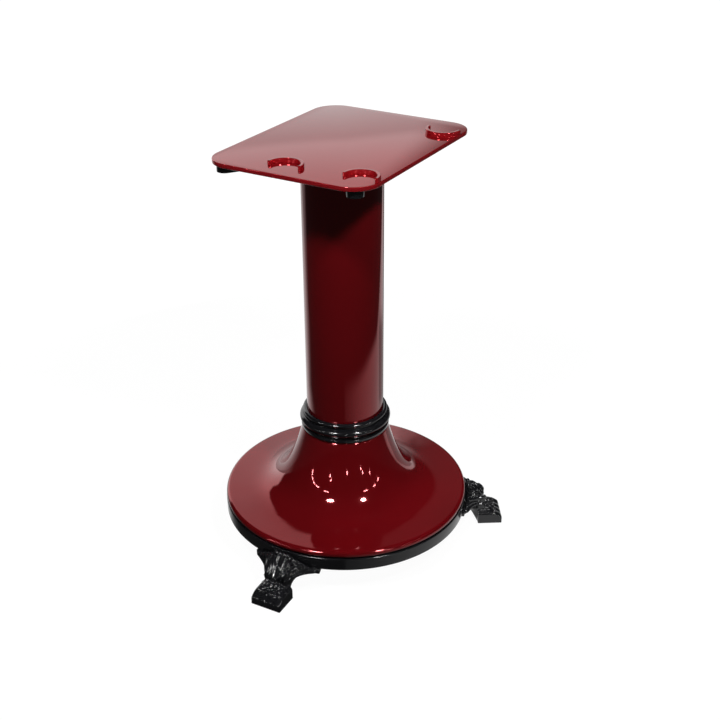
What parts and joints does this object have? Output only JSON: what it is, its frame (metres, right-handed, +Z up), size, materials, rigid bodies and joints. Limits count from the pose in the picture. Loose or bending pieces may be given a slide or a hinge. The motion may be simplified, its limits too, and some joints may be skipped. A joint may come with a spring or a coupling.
{
  "type": "meat slicer stand",
  "caption": "Pedestal stand for a counter-top meat slicer: offset top plate with foot locators on a tube column, flared base and carved paw feet.",
  "frame": {"origin": "on the floor, at the middle of the whole stand's footprint", "axes": "+Z up along the column, +Y from the plate's front edge to its back edge, +X to the right seen from the front"},
  "size_m": [0.5934, 0.5736, 0.811],
  "materials": {
    "red_enamel": "gloss red enamel on steel",
    "red_cast_enamel": "gloss red enamel on cast iron",
    "black_enamel": "gloss black enamel, turned",
    "black_casting": "gloss black enamel on cast iron",
    "bare_steel": "turned, lightly oiled",
    "black_oxide_steel": "black oxide",
    "zinc_plated_steel": "zinc plated"
  },
  "bodies": {
    "root": {"top_plate": "red_enamel", "locator_front_left": "red_enamel", "locator_front_right": "red_enamel", "locator_back_right": "red_enamel", "top_bracket": "black_casting", "plate_screws": "black_oxide_steel", "bracket_screws": "black_oxide_steel", "column_tube": "red_enamel", "column_head_flange": "bare_steel", "column_foot_flange": "bare_steel", "collar": "black_enamel", "flared_base": "red_cast_enamel", "column_bolts": "zinc_plated_steel", "column_bolt_washers": "zinc_plated_steel", "base_ring": "black_casting", "ring_screws": "black_oxide_steel", "foot_front": "black_casting", "foot_right": "black_casting", "foot_left": "black_casting", "foot_bolts": "zinc_plated_steel", "foot_bolt_washers": "zinc_plated_steel"}
  },
  "joints": []
}
